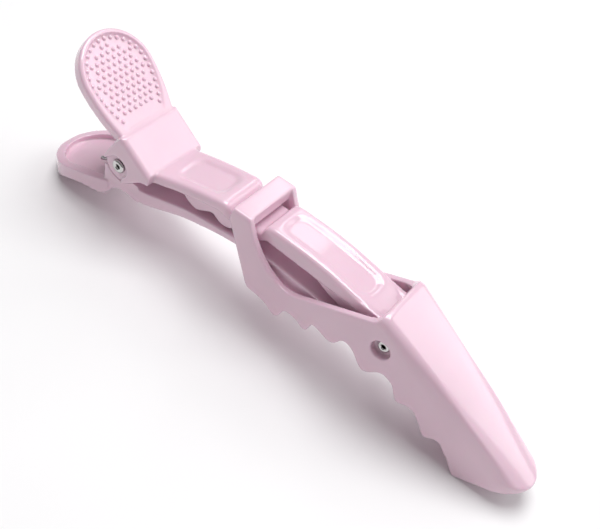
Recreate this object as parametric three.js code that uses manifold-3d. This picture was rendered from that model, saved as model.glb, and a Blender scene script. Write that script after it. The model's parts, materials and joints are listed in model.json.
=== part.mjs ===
// Double-hinged sectioning clip for holding hair in place while it is cut.
// Two moulded levers turn on a main rivet at the thumb pads, and a rocking jaw
// turns on a second rivet near the front of the upper lever. A steel torsion
// spring on the main rivet holds the clip shut.
//
// Everything is drawn in a working frame: millimetres, the main pivot at the
// origin, +X forward to the jaw rivet, +Y to the left, +Z up. The finished
// group is then tilted and moved, so that the clip lies on its belly on z = 0.

import * as THREE from 'three';
import * as BufferGeometryUtils from 'three/addons/utils/BufferGeometryUtils.js';
import Module from 'manifold-3d';

const wasm = await Module();
wasm.setup();

// ---------------------------------------------------------------- dimensions
const GAP = 0.3;                 // clearance between pieces that touch
const PAST = 1;                  // how far a cutter runs past what it cuts
const WIDE = 8;                  // half width that clears all but the dotted pad

const PIVOT_SPACING = 58;        // main pivot to jaw pivot

const EAR_RADIUS = 3.3;          // round lower end of the clevis ears
const EAR_OUTER = 7.2;           // half width over the ears
const EAR_INNER = 4.25;          // half width of the slot between the ears
const EAR_RECESS_RADIUS = 2.25;  // sunk round the rivet, open to the ear's lower edge
const EAR_RECESS_DEPTH = 0.65;

const LUG_RADIUS = 2.9;          // lugs of the lower lever, between the ears
const LUG_OUTER = EAR_INNER - GAP;
const LUG_INNER = 2.8;

const NECK = { x: 0.6, z: 6.5 }; // where the pad's top meets the clevis
const CLEVIS_REAR = { x: 1.0, z: 6.9 };        // the clevis stands a step above the neck
const CLEVIS_FRONT = { x: 7.4, z: 2.4 };       // where the clevis meets the arm
const CLEVIS_EDGE_RADIUS = 0.9;

const UPPER_PAD_SLOPE = THREE.MathUtils.degToRad(43);
const UPPER_PAD_LENGTH = 18.5;   // from the neck to the round end
const UPPER_PAD_HALF_WIDTH = 8.3;
const UPPER_PAD_NECK_HALF_WIDTH = 6.4;
const UPPER_PAD_DEPTH = 2.6;     // full height of the cup's wall
const UPPER_PAD_SKIN = 1.2;      // thickness of the cup's floor
const PAD_LEAN = 0.5;            // how far the pads' walls lean in at the rim
const PAD_WALL = 1.1;

const ARM_HALF_WIDTH = 5.3;      // upper arm behind the crossbar
const ARM_FRONT_HALF_WIDTH = 4.4;
const ARM_RECESS_DEPTH = 0.4;
const ARM_RECESS_RADIUS = 2.2;
const ARM_RECESSES = [
  { start: 10.5, end: 20.3, halfWidth: 3.0 },
  { start: 33.4, end: 51.4, halfWidth: 2.5 },
];
// The upper arm from the side, as x, z and corner radius: its top runs up to
// the land under the crossbar, steps up, and falls to its end inside the jaw.
const ARM_TOP = [
  [6.2, 3.1], [7.4, 2.4], [15, 4.6, 4], [22.6, 6.1, 1], [24.6, 4.5, 0.8], [30.3, 4.4, 0.4],
  [31.1, 6.3, 0.6], [32.3, 6.7, 1], [42, 6.5, 6], [52.6, 4.3, 3], [58.4, 2.6, 1.5],
];
const ARM_UNDERSIDE = [
  [58.4, 0.6], [52, 2.4], [42, 4.5, 6], [33, 4.7, 1], [30.2, 2.4, 1], [24.4, 2.4, 1],
  [22.2, 4.0, 1], [14, 2.4, 4], [7.0, 0.2],
];
const FLANGE_INNER = 3.2;
const GUSSET_INNER = 1.9;
const GUSSET_OUTER = 4.05;
const BOSS_RADIUS = 1.95;

const LOWER_ARM_HALF_WIDTH = 4.8;
const LOWER_ARM_WINDOW_HALF_WIDTH = 4.6;      // where it shows in the jaw's window
const LOWER_ARM_JAW_HALF_WIDTH = 4.0;
const LOWER_ARM_TIP_HALF_WIDTH = 2.1;
const SADDLE_HALF_WIDTH = 6.3;
const SEAT_RADIUS = EAR_RADIUS + GAP + 0.05;   // hollow seat for the ears
const LOWER_PAD_HALF_WIDTH = 7.6;
const LOWER_PAD_END = -19.9;
const GRIP_RIB_COUNT = 10;
const GRIP_RIB_PITCH = 1.28;
const GRIP_RIB_RADIUS = 0.38;

const JAW_WALL = 1.25;
const JAW_REAR_HALF_WIDTH = 6.45;
const JAW_FRONT_HALF_WIDTH = 4.9;
const JAW_RECESS_RADIUS = 1.85;
const JAW_RECESS_DEPTH = 1.35;
const JAW_BOSS_RADIUS = 2.9;     // thickens each cheek behind its recess
const JAW_BOSS_INNER = 4.4;
const CROSSBAR_TOP = 7.9;
const CROSSBAR_THICKNESS = 2.6;
const CROSSBAR_FRONT_X = 28.3;
const CROSSBAR_SHOULDER_DROP = 1.1;
const JAW_SHOULDER_DROP = 3.6;   // from the crown's creases down to the flat of the cheeks
const WINDOW_MIDDLE_X = 42;
const JAW_APEX = { x: 57.2, z: 6.7 };
const JAW_TIP_X = 89.4;
const JAW_NOSE_LENGTH = 6.2;     // of the half-oval front end
const JAW_FALL = 19.5;           // height lost from the apex to the tip
const JAW_BOW = 3.0;             // how much the crown bows up on its way down
const JAW_DOME = 0.7;            // the crown's middle above its two soft creases

const MAIN_RIVET = { shank: 0.95, flange: 1.35, bore: 0.6, thickness: 0.45 };
const JAW_RIVET = { shank: 0.9, flange: 1.2, bore: 0.7, thickness: 0.28 };

const WIRE_RADIUS = 0.4;         // torsion spring
const COIL_RADIUS = 1.75;
const COIL_TURNS = 4;
const COIL_PITCH = 0.86;
const COIL_MIDDLE_Y = -0.4;
const UPPER_LEG = { angle: THREE.MathUtils.degToRad(40), length: 11.5 };
const LOWER_LEG = { angle: THREE.MathUtils.degToRad(-62), length: 10.5 };
const SPRING_WELL_RADIUS = COIL_RADIUS + WIRE_RADIUS + 0.5;
const LEG_SLOT_HALF_WIDTH = 2.7;

// Where the clip touches the surface that it lies on, in the working frame.
const REST_REAR = { x: -18.0, z: -14.18 };
const REST_FRONT = { x: 77.8, z: -17.79 };

// ------------------------------------------------------------------- helpers
// A closed outline through [x, y, radius] corners, each rounded by its radius.
function outline(corners) {
  const shape = new THREE.Shape();
  const count = corners.length;
  corners.forEach(([x, y, radius = 0], i) => {
    const corner = new THREE.Vector2(x, y);
    const [px, py] = corners[(i + count - 1) % count];
    const [nx, ny] = corners[(i + 1) % count];
    const before = new THREE.Vector2(px, py).sub(corner);
    const after = new THREE.Vector2(nx, ny).sub(corner);
    const reach = Math.min(radius, before.length() * 0.49, after.length() * 0.49);
    const start = corner.clone().addScaledVector(before.normalize(), reach);
    const end = corner.clone().addScaledVector(after.normalize(), reach);
    if (i === 0) shape.moveTo(start.x, start.y);
    else shape.lineTo(start.x, start.y);
    if (reach > 0) shape.quadraticCurveTo(corner.x, corner.y, end.x, end.y);
  });
  shape.closePath();
  return shape;
}

// Turns a three.js geometry into a solid that can be joined and cut.
function solid(geometry) {
  const plain = geometry.index ? geometry.toNonIndexed() : geometry.clone();
  plain.deleteAttribute('normal');
  plain.deleteAttribute('uv');
  const merged = BufferGeometryUtils.mergeVertices(plain, 1e-5);
  return new wasm.Manifold(new wasm.Mesh({
    numProp: 3,
    vertProperties: Float32Array.from(merged.attributes.position.array),
    triVerts: Uint32Array.from(merged.index.array),
  }));
}

// A side outline, drawn in x and z, made solid from y = low to y = high.
function sideSlab(shape, low, high, curveSegments = 4) {
  const geometry = new THREE.ExtrudeGeometry(shape, {
    depth: high - low, bevelEnabled: false, curveSegments,
  });
  geometry.rotateX(Math.PI / 2);
  geometry.translate(0, high, 0);
  return solid(geometry);
}

// A plan outline, drawn in x and y, made solid from z = low to z = high.
function planSlab(shape, low, high, curveSegments = 10) {
  const geometry = new THREE.ExtrudeGeometry(shape, {
    depth: high - low, bevelEnabled: false, curveSegments,
  });
  geometry.translate(0, 0, low);
  return solid(geometry);
}

// A cylinder along Y around the point x, z.
function roundPin(radius, low, high, x = 0, z = 0, sides = 32) {
  const geometry = new THREE.CylinderGeometry(radius, radius, high - low, sides);
  geometry.translate(x, (low + high) / 2, z);
  return solid(geometry);
}

// An outline drawn in y and z, made solid from x = low to x = high.
function endSlab(shape, low, high, curveSegments = 6) {
  const geometry = new THREE.ExtrudeGeometry(shape, {
    depth: high - low, bevelEnabled: false, curveSegments,
  });
  geometry.rotateX(Math.PI / 2);
  geometry.rotateZ(Math.PI / 2);
  geometry.translate(low, 0, 0);
  return solid(geometry);
}

// The same piece on both sides of the middle plane, from y = inner to outer.
function bothSides(make, inner, outer) {
  return make(inner, outer).add(make(-outer, -inner));
}

// A round-ended plan outline: half width `narrow` at `start`, growing to
// `wide`, and closed by a half round that reaches `end`.
function paddle(start, end, narrow, wide) {
  const direction = Math.sign(end - start);
  const centre = end - direction * wide;
  const shape = new THREE.Shape();
  shape.moveTo(start, -narrow);
  shape.quadraticCurveTo((start + centre) / 2, -wide, centre, -wide);
  shape.absellipse(centre, 0, wide, wide, -Math.PI / 2, Math.PI / 2, direction < 0);
  shape.quadraticCurveTo((start + centre) / 2, wide, start, narrow);
  shape.closePath();
  return shape;
}

// A solid through plan outlines with equal numbers of points, from the lowest
// up, each at its own height.
function planLoft(levels) {
  const rings = levels.map(([plan, z]) => (
    plan.getPoints(10).slice(0, -1).map((p) => new THREE.Vector3(p.x, p.y, z))
  ));
  const turnsLeft = THREE.ShapeUtils.area(rings[0]) > 0;
  return solid(loft(turnsLeft ? rings : rings.map((points) => points.reverse())));
}

// A closed surface through rings of equal length, its convex ends filled.
function loft(rings) {
  const size = rings[0].length;
  const positions = rings.flat().flatMap((p) => [p.x, p.y, p.z]);
  const index = [];
  for (let i = 0; i + 1 < rings.length; i++) {
    for (let j = 0; j < size; j++) {
      const next = (j + 1) % size;
      const a = i * size + j;
      const b = i * size + next;
      index.push(a, b, a + size, b, b + size, a + size);
    }
  }
  const last = (rings.length - 1) * size;
  for (let j = 1; j + 1 < size; j++) {
    index.push(0, j + 1, j);
    index.push(last, last + j, last + j + 1);
  }
  const geometry = new THREE.BufferGeometry();
  geometry.setAttribute('position', new THREE.Float32BufferAttribute(positions, 3));
  geometry.setIndex(index);
  return geometry;
}

// A hollow rivet along Y: shank, a flange at each end and a bore through it.
function hollowRivet(size, halfLength, x) {
  const { shank, flange, bore, thickness } = size;
  const inner = halfLength - thickness;
  const lip = thickness / 2;
  const profile = [
    [bore, -inner], [bore + lip, -halfLength], [flange - lip, -halfLength],
    [flange, -inner - lip], [flange, -inner], [shank, -inner], [shank, inner], [flange, inner],
    [flange, inner + lip], [flange - lip, halfLength], [bore + lip, halfLength],
    [bore, inner], [bore, -inner],
  ].map(([radius, along]) => new THREE.Vector2(radius, along));
  const geometry = new THREE.LatheGeometry(profile, 28);
  geometry.translate(x, 0, 0);
  return solid(geometry);
}

function pieceMesh(name, manifold, material) {
  const { vertProperties, triVerts } = manifold.getMesh();
  const geometry = new THREE.BufferGeometry();
  geometry.setAttribute('position', new THREE.BufferAttribute(vertProperties, 3));
  geometry.setIndex(new THREE.BufferAttribute(triVerts, 1));
  geometry.computeVertexNormals();
  const mesh = new THREE.Mesh(geometry, material);
  mesh.name = name;
  return mesh;
}

// --------------------------------------------------------------- upper lever
// The thumb pad is a shallow cup that opens downward, drawn flat with its top
// at z = 0 and its length along -X, then sloped up from the neck.
function upperPad() {
  const plan = (inset) => paddle(
    PAST, inset - UPPER_PAD_LENGTH, UPPER_PAD_NECK_HALF_WIDTH - inset, UPPER_PAD_HALF_WIDTH - inset,
  );
  const body = planLoft([
    [plan(PAD_LEAN), -UPPER_PAD_DEPTH], [plan(0.2), -0.7], [plan(0.35), -0.25], [plan(0.8), 0],
  ]);
  const cup = planLoft([
    [plan(PAD_LEAN + PAD_WALL), -UPPER_PAD_DEPTH - GAP], [plan(PAD_WALL), -UPPER_PAD_SKIN],
  ]);
  const slope = THREE.MathUtils.radToDeg(UPPER_PAD_SLOPE);
  return body.subtract(cup).rotate([0, slope, 0]).translate([NECK.x, 0, NECK.z]);
}

// The clevis: a block whose two ears go down outside the lower lever's lugs.
// Its flat top slopes down to the arm between two long rounded edges.
function clevis() {
  const shape = new THREE.Shape();
  shape.moveTo(NECK.x - 0.4, NECK.z - 0.4);
  shape.lineTo(CLEVIS_REAR.x, CLEVIS_REAR.z);
  shape.lineTo(CLEVIS_FRONT.x, CLEVIS_FRONT.z);
  shape.lineTo(7.4, 0.5);
  shape.lineTo(5.8, 0.2);
  shape.lineTo(2.0, -2.62);
  shape.absarc(0, 0, EAR_RADIUS, -0.92, -3.63, true);
  shape.lineTo(-1.4, 4.6);
  shape.closePath();
  const slot = outline([
    [-4.4, 4.2], [-2.4, 5.4], [-0.4, 4.7], [6.0, 0.4], [6.4, -4.5], [-4.4, -4.5],
  ]);
  const section = outline([
    [-EAR_OUTER, -12], [EAR_OUTER, -12],
    [EAR_OUTER, 0.04, CLEVIS_EDGE_RADIUS], [-EAR_OUTER, 0.04, CLEVIS_EDGE_RADIUS],
  ]);
  const slope = Math.atan2(CLEVIS_REAR.z - CLEVIS_FRONT.z, CLEVIS_FRONT.x - CLEVIS_REAR.x);
  const rounding = endSlab(section, -12, 12)
    .rotate([0, THREE.MathUtils.radToDeg(slope), 0])
    .translate([CLEVIS_REAR.x, 0, CLEVIS_REAR.z]);
  return sideSlab(shape, -EAR_OUTER, EAR_OUTER, 10)
    .intersect(rounding)
    .subtract(sideSlab(slot, -EAR_INNER, EAR_INNER));
}

// The recess round the main rivet: round on top, and open like a channel down
// and back to the edge of the ear.
function earRecess(low, high) {
  const channel = outline([
    [2.15, 0.6], [0.4, -EAR_RADIUS - PAST], [-EAR_RADIUS - PAST, -EAR_RADIUS - PAST],
    [-EAR_RADIUS - PAST, -1.0], [-1.5, 1.7],
  ]);
  return roundPin(EAR_RECESS_RADIUS, low, high).add(sideSlab(channel, low, high));
}

function upperArm() {
  const side = outline([...ARM_TOP, ...ARM_UNDERSIDE]);
  const arm = sideSlab(side, -WIDE, WIDE).intersect(armPlan());
  return ARM_RECESSES.reduce((rest, recess) => rest.subtract(topRecess(recess)), arm);
}

// Plan of the arm: widest at the clevis, and slimmer where it runs into the jaw.
function armPlan() {
  const rear = ARM_HALF_WIDTH;
  const front = ARM_FRONT_HALF_WIDTH;
  const end = ARM_FRONT_HALF_WIDTH - GAP;
  return planSlab(outline([
    [5, -rear - 0.3], [23.4, -rear + 0.2, 0.6], [24.4, -front, 0.6], [50, -front], [54, -end],
    [62, -end], [62, end], [54, end], [50, front], [24.4, front, 0.6],
    [23.4, rear - 0.2, 0.6], [5, rear + 0.3],
  ]), -5, 10);
}

// A cutter for a shallow racetrack recess whose floor follows the arm's top.
function topRecess({ start, end, halfWidth }) {
  const plan = outline([
    [start, -halfWidth, ARM_RECESS_RADIUS], [end, -halfWidth, ARM_RECESS_RADIUS],
    [end, halfWidth, ARM_RECESS_RADIUS], [start, halfWidth, ARM_RECESS_RADIUS],
  ]);
  const underTop = sideSlab(outline([...ARM_TOP, [58.4, -PAST], [6.2, -PAST]]), -WIDE, WIDE);
  return planSlab(plan, 0, 12, 4).subtract(underTop.translate([0, 0, -ARM_RECESS_DEPTH]));
}

// Wavy ribs under the rear stretch, which bite on the lower arm.
function biteRibs() {
  const shape = outline([
    [12.2, 3.0], [13.6, 0.4, 0.8], [16.2, -0.75, 1], [18.4, 0.5, 0.8], [19.8, 1.4, 0.8],
    [21.6, 0.1, 0.8], [23.4, 0.05, 0.9], [25.0, 1.3, 0.8], [26.6, 1.2, 0.8],
    [28.6, 0.3, 0.8], [29.6, 3.0], [24, 3.6], [21.5, 4.8], [14, 3.4],
  ]);
  return bothSides((low, high) => sideSlab(shape, low, high, 3), 2.9, 4.1);
}

// Side flanges of the front stretch, down to the bosses on the jaw rivet.
function frontFlanges() {
  const strip = outline([[30.8, 3.7, 0.5], [58, 2], [58, 3.4], [42, 5.6], [31.4, 5.8]]);
  const gusset = outline([
    [39.5, 4.2], [45, 1.2, 1], [53.5, -1.5, 2], [PIVOT_SPACING, -1.95],
    [PIVOT_SPACING + 0.4, 3.2], [42, 5.4],
  ]);
  const boss = (low, high) => roundPin(BOSS_RADIUS, low, high, PIVOT_SPACING);
  return bothSides((low, high) => sideSlab(strip, low, high), FLANGE_INNER, WIDE)
    .add(bothSides((low, high) => sideSlab(gusset, low, high), GUSSET_INNER, GUSSET_OUTER))
    .add(bothSides(boss, GUSSET_INNER, GUSSET_OUTER))
    .intersect(armPlan());
}

function upperLever() {
  const mainBore = roundPin(MAIN_RIVET.shank + GAP / 2, -WIDE, WIDE);
  const jawBore = roundPin(JAW_RIVET.shank + GAP / 2, -WIDE, WIDE, PIVOT_SPACING);
  const bossRoom = bothSides(
    (low, high) => roundPin(JAW_BOSS_RADIUS + GAP, low, high, PIVOT_SPACING),
    JAW_BOSS_INNER - GAP, WIDE,
  );
  return upperPad()
    .add(clevis())
    .add(upperArm())
    .add(biteRibs())
    .add(frontFlanges())
    .subtract(bothSides(earRecess, EAR_OUTER - EAR_RECESS_DEPTH, WIDE))
    .subtract(bossRoom)
    .subtract(mainBore)
    .subtract(jawBore);
}

// --------------------------------------------------------------- lower lever
// The ribbed rear pad: a curved slab with a dished top and ribs underneath.
function lowerPad() {
  const underside = [-16.4, -13.5, -11, -8, -3.9].map((x) => [x, padUndersideHeight(x), 1.2]);
  const side = outline([
    [-2.6, -5.6], [-3.9, -5.9, 0.5], [-10, -7.4, 4], [LOWER_PAD_END, -10.4, 0.8],
    [-18.4, -14.4, 0.8], ...underside, [-2.6, -8.2],
  ]);
  const plan = (inset) => paddle(
    -1, inset + LOWER_PAD_END, SADDLE_HALF_WIDTH - inset, LOWER_PAD_HALF_WIDTH - inset,
  );
  const wall = planLoft([[plan(PAD_LEAN), -14.6], [plan(0), -7], [plan(0), -2]]);
  const dishPlan = paddle(-4.4, -18.0, 5.0, LOWER_PAD_HALF_WIDTH - 1.8);
  const dishSide = outline([
    [-4.4, -7.0, 0.5], [-10, -8.5, 4], [-18, -10.9, 1], [-18, -3], [-4.4, -3],
  ]);
  const dish = sideSlab(dishSide, -WIDE, WIDE).intersect(planSlab(dishPlan, -16, -2));
  return sideSlab(side, -WIDE, WIDE).intersect(wall).subtract(dish);
}

// Grip ribs: round-edged bars across the pad, level with the curve of its
// underside and standing a little proud of it.
function gripRibs() {
  const plan = paddle(-1, -18.4, SADDLE_HALF_WIDTH - 0.9, LOWER_PAD_HALF_WIDTH - 1.5);
  const bars = [];
  for (let i = 0; i < GRIP_RIB_COUNT; i++) {
    const x = -4.3 - i * GRIP_RIB_PITCH;
    bars.push(roundPin(GRIP_RIB_RADIUS, -WIDE, WIDE, x, padUndersideHeight(x), 10));
  }
  return bars.reduce((sum, bar) => sum.add(bar)).intersect(planSlab(plan, -18, -2));
}

// Nearly level behind the saddle, then curling down towards the round end.
function padUndersideHeight(x) {
  const back = Math.max(0, -7 - x);
  return -9.75 + 0.06 * (x + 4) - 0.035 * back * back;
}

// The saddle under the clevis ears, with the two lugs that carry the rivet.
function saddle() {
  const block = outline([
    [-3.9, -1.9, 0.4], [0, -1.9], [0.4, -2.2], [4.5, -2.2, 0.4], [4.9, -6.2, 0.5],
    [1.4, -5.6, 2], [-1.4, -6.4, 2], [-2.8, -8.6, 1], [-3.9, -9.7, 0.4],
  ]);
  const web = outline([
    [-LUG_RADIUS, 0], [LUG_RADIUS, 0], [LUG_RADIUS, -4.6], [-LUG_RADIUS, -4.6],
  ]);
  const lug = (low, high) => sideSlab(web, low, high).add(roundPin(LUG_RADIUS, low, high));
  const legSlot = outline([[0, 0], [0, -2.5], [-3.2, -6.4], [-5.4, -7.3], [-5.4, 0]]);
  return sideSlab(block, -SADDLE_HALF_WIDTH, SADDLE_HALF_WIDTH)
    .subtract(roundPin(SEAT_RADIUS, -WIDE, WIDE))
    .add(bothSides(lug, LUG_INNER, LUG_OUTER))
    .subtract(sideSlab(legSlot, -LEG_SLOT_HALF_WIDTH, LEG_SLOT_HALF_WIDTH));
}

// The arched arm: from the saddle it runs forward between the jaw's cheeks
// and ends under the roof of the jaw.
function lowerArm() {
  const shape = new THREE.Shape();
  shape.moveTo(3, -6.0);
  shape.splineThru([
    new THREE.Vector2(9, -5.2), new THREE.Vector2(18, -2.8), new THREE.Vector2(28, -1.4),
    new THREE.Vector2(38, -2.9), new THREE.Vector2(50, -4.1), new THREE.Vector2(64, -6.2),
    new THREE.Vector2(73, -8.5), new THREE.Vector2(79, -10.6),
  ]);
  shape.lineTo(79.3, -9.9);
  shape.splineThru([
    new THREE.Vector2(73, -7.5), new THREE.Vector2(64, -4.8), new THREE.Vector2(50, -2.0),
    new THREE.Vector2(38, -0.1), new THREE.Vector2(28, 0.1), new THREE.Vector2(18, -0.9),
    new THREE.Vector2(9, -2.5), new THREE.Vector2(3, -2.7),
  ]);
  shape.closePath();
  const saddleSide = SADDLE_HALF_WIDTH;
  const rear = LOWER_ARM_HALF_WIDTH;
  const window = LOWER_ARM_WINDOW_HALF_WIDTH;
  const front = LOWER_ARM_JAW_HALF_WIDTH;
  const tip = LOWER_ARM_TIP_HALF_WIDTH;
  const plan = outline([
    [2, -saddleSide], [5.5, -saddleSide, 1], [12, -rear, 4], [47, -window, 6],
    [56, -front, 6], [80, -tip, 2], [80, tip, 2], [56, front, 6],
    [47, window, 6], [12, rear, 4], [5.5, saddleSide, 1], [2, saddleSide],
  ]);
  return sideSlab(shape, -WIDE, WIDE, 3).intersect(planSlab(plan, -14, 2));
}

function lowerLever() {
  const earRoom = bothSides((low, high) => roundPin(SEAT_RADIUS, low, high), LUG_OUTER, WIDE);
  return lowerArm()
    .subtract(earRoom)
    .add(saddle())
    .add(lowerPad())
    .add(gripRibs())
    .subtract(roundPin(SPRING_WELL_RADIUS, -LUG_INNER, LUG_INNER))
    .subtract(roundPin(MAIN_RIVET.shank + GAP / 2, -WIDE, WIDE));
}

// ----------------------------------------------------------------------- jaw
// Height of the jaw's crown: level over the crossbar, a little lower at the
// apex over the rivet, then a gently bowed fall to the tip.
function crownHeight(x) {
  if (x < WINDOW_MIDDLE_X) return CROSSBAR_TOP;
  const along = THREE.MathUtils.clamp((x - JAW_APEX.x) / (JAW_TIP_X - JAW_APEX.x), 0, 1.1);
  return JAW_APEX.z - JAW_FALL * along + JAW_BOW * along * (1 - along);
}

// Parallel cheeks as far as the rivet, then narrowing to the tip.
function jawHalfWidth(x) {
  const along = THREE.MathUtils.smoothstep(x, 56, 84);
  return THREE.MathUtils.lerp(JAW_REAR_HALF_WIDTH, JAW_FRONT_HALF_WIDTH, along);
}

// Half width of the crown between its creases: nearly the full width over the
// crossbar, less over the rivet, and least at the tip.
function crownHalfWidth(x) {
  const { lerp, smoothstep } = THREE.MathUtils;
  const behind = lerp(5.9, 4.4, smoothstep(x, 40, 62));
  return behind - 1.2 * smoothstep(x, 74, 90);
}

// A bar along X with a flat bottom, a domed crown and, below its creases,
// shoulders that curve down into the cheeks. `inset` shrinks it all round to
// make the inside of the shell.
function jawLoft(inset) {
  const bottom = -24;
  const shoulderSteps = 5;
  const stations = [];
  for (let x = 23; x < 55; x += 4) stations.push(x);
  for (let x = 55.2; x < 92; x += 2) stations.push(x);
  const rings = stations.map((x) => {
    const forward = THREE.MathUtils.smoothstep(x, 48, 76);
    const width = jawHalfWidth(x) - inset;
    const crownHalf = crownHalfWidth(x) - inset * 0.8;
    const roofInset = x > JAW_APEX.x ? inset * 1.18 : inset;
    const crownInset = x < WINDOW_MIDDLE_X && inset > 0 ? CROSSBAR_THICKNESS : roofInset;
    const crown = crownHeight(x) - crownInset;
    const dome = JAW_DOME * forward;
    const crease = crown - dome;
    const drop = THREE.MathUtils.lerp(CROSSBAR_SHOULDER_DROP, JAW_SHOULDER_DROP, forward);
    const shoulder = new THREE.QuadraticBezierCurve(
      new THREE.Vector2(crownHalf, crease),
      new THREE.Vector2(crownHalf + 0.78 * (width - crownHalf), crease - 0.3 * drop),
      new THREE.Vector2(width, crease - drop),
    );
    const half = [
      new THREE.Vector2(crownHalf / 2, crown - dome / 4), ...shoulder.getPoints(shoulderSteps),
      new THREE.Vector2(width, bottom),
    ];
    const left = half.map((p) => new THREE.Vector3(x, p.x, p.y));
    const right = half.map((p) => new THREE.Vector3(x, -p.x, p.y)).reverse();
    return [...right, new THREE.Vector3(x, 0, crown), ...left].reverse();
  });
  return solid(loft(rings));
}

// The jaw's side outline: crossbar, scooped window, roof, slanted tip edge,
// and the uneven wavy teeth along the lower edge of the cheeks.
function jawOutline() {
  return outline([
    [24.9, 5.4, 0.6], [25.4, 9.0], [28.6, 9.0], [30.3, 4.7, 1.5], [33.2, 0.6, 3],
    [38.6, -2.6, 5], [46.0, 0.8, 5], [55.6, 5.0, 0.8], [57.0, 8.2], [92, 4],
    [91, -12.6], [77.6, -18.0, 0.8],
    [75.2, -14.4, 1.6], [72.6, -11.6, 1.9], [70.4, -13.5, 1.5], [67.9, -9.5, 1.8],
    [66.0, -8.2, 1.6], [63.7, -9.4, 1.5], [61.8, -5.4, 1.8], [59.6, -4.6, 1.8],
    [56.3, -8.4, 1.7], [53.4, -4.1, 1.8], [51.4, -3.4, 1.6], [49.6, -7.1, 1.5],
    [46.6, -5.8, 1.4], [45.2, -4.8, 1.2], [44.2, -8.9, 1.3], [41.6, -6.8, 1.3],
    [39.4, -6.2, 1.2], [38.0, -10.8, 1.3], [35.4, -8.2, 1.2], [33.4, -7.4, 1.0],
    [30.9, -7.2, 1.0],
  ]);
}

// Plan of the jaw: a long bar with a half-oval front end.
function jawPlan(inset) {
  const side = JAW_FRONT_HALF_WIDTH - inset;
  const centre = JAW_TIP_X - JAW_NOSE_LENGTH;
  const shape = new THREE.Shape();
  shape.moveTo(20, -WIDE);
  shape.lineTo(70, -WIDE);
  shape.lineTo(centre, -side - 0.05);
  shape.absellipse(centre, 0, JAW_NOSE_LENGTH - inset, side, -Math.PI / 2, Math.PI / 2, false);
  shape.lineTo(70, WIDE);
  shape.lineTo(20, WIDE);
  shape.closePath();
  return shape;
}

function jaw() {
  const outer = jawLoft(0).intersect(planSlab(jawPlan(0), -30, 20));
  const inner = jawLoft(JAW_WALL).intersect(planSlab(jawPlan(JAW_WALL), -30, 20));
  const boss = (low, high) => roundPin(JAW_BOSS_RADIUS, low, high, PIVOT_SPACING);
  const recess = (low, high) => roundPin(JAW_RECESS_RADIUS, low, high, PIVOT_SPACING);
  const cheekOuter = jawHalfWidth(PIVOT_SPACING);
  const cheekInner = JAW_REAR_HALF_WIDTH - JAW_WALL;
  const crossbarFront = outline([
    [CROSSBAR_FRONT_X, 3], [34, 3], [34, 12], [CROSSBAR_FRONT_X, 12],
  ]);
  return outer.subtract(inner)
    .intersect(sideSlab(jawOutline(), -WIDE, WIDE, 5))
    .subtract(sideSlab(crossbarFront, -cheekInner, cheekInner))
    .add(bothSides(boss, JAW_BOSS_INNER, cheekOuter - JAW_WALL / 2))
    .subtract(bothSides(recess, cheekOuter - JAW_RECESS_DEPTH, WIDE))
    .subtract(roundPin(JAW_RIVET.shank + GAP / 2, -WIDE, WIDE, PIVOT_SPACING));
}

// -------------------------------------------------------------------- spring
// One wire: a leg in the upper pad's cup, the coil, a leg in the lower dish.
class TorsionSpringPath extends THREE.Curve {
  constructor() {
    super();
    this.sweep = COIL_TURNS * 2 * Math.PI + UPPER_LEG.angle - LOWER_LEG.angle;
    this.coilLength = this.sweep * COIL_RADIUS;
    this.total = UPPER_LEG.length + this.coilLength + LOWER_LEG.length;
  }

  // A point of the coil, `part` of the way from the upper leg to the lower.
  onCoil(part) {
    const angle = UPPER_LEG.angle - part * this.sweep;
    const y = COIL_MIDDLE_Y + (0.5 - part) * COIL_TURNS * COIL_PITCH;
    return new THREE.Vector3(COIL_RADIUS * Math.cos(angle), y, COIL_RADIUS * Math.sin(angle));
  }

  // The coil turns from the upper leg over the front and down to the lower leg.
  getPoint(t, target = new THREE.Vector3()) {
    const along = t * this.total;
    const last = UPPER_LEG.angle - this.sweep;
    const toLowerLeg = along - UPPER_LEG.length - this.coilLength;
    if (along < UPPER_LEG.length) {
      const back = new THREE.Vector3(-Math.sin(UPPER_LEG.angle), 0, Math.cos(UPPER_LEG.angle));
      return target.copy(this.onCoil(0)).addScaledVector(back, UPPER_LEG.length - along);
    }
    if (toLowerLeg > 0) {
      const out = new THREE.Vector3(Math.sin(last), 0, -Math.cos(last));
      return target.copy(this.onCoil(1)).addScaledVector(out, toLowerLeg);
    }
    return target.copy(this.onCoil((along - UPPER_LEG.length) / this.coilLength));
  }
}

function torsionSpring() {
  const section = new THREE.Shape();
  section.absarc(0, 0, WIRE_RADIUS, 0, 2 * Math.PI);
  const geometry = new THREE.ExtrudeGeometry(section, {
    steps: 110, curveSegments: 4, bevelEnabled: false, extrudePath: new TorsionSpringPath(),
  });
  return solid(geometry);
}

// ------------------------------------------------------------------ assembly
function plastic(colour) {
  return new THREE.MeshStandardMaterial({ color: colour, roughness: 0.28, metalness: 0 });
}

function steel(colour) {
  return new THREE.MeshStandardMaterial({ color: colour, roughness: 0.25, metalness: 1 });
}

// A rivet whose flanges stand on the floors of the recesses at `floor`.
function rivetBetween(floor, size, x) {
  return hollowRivet(size, floor + GAP / 2 + size.thickness, x);
}

const mainRivet = rivetBetween(EAR_OUTER - EAR_RECESS_DEPTH, MAIN_RIVET, 0);
const jawRivet = rivetBetween(
  jawHalfWidth(PIVOT_SPACING) - JAW_RECESS_DEPTH, JAW_RIVET, PIVOT_SPACING,
);

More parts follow.
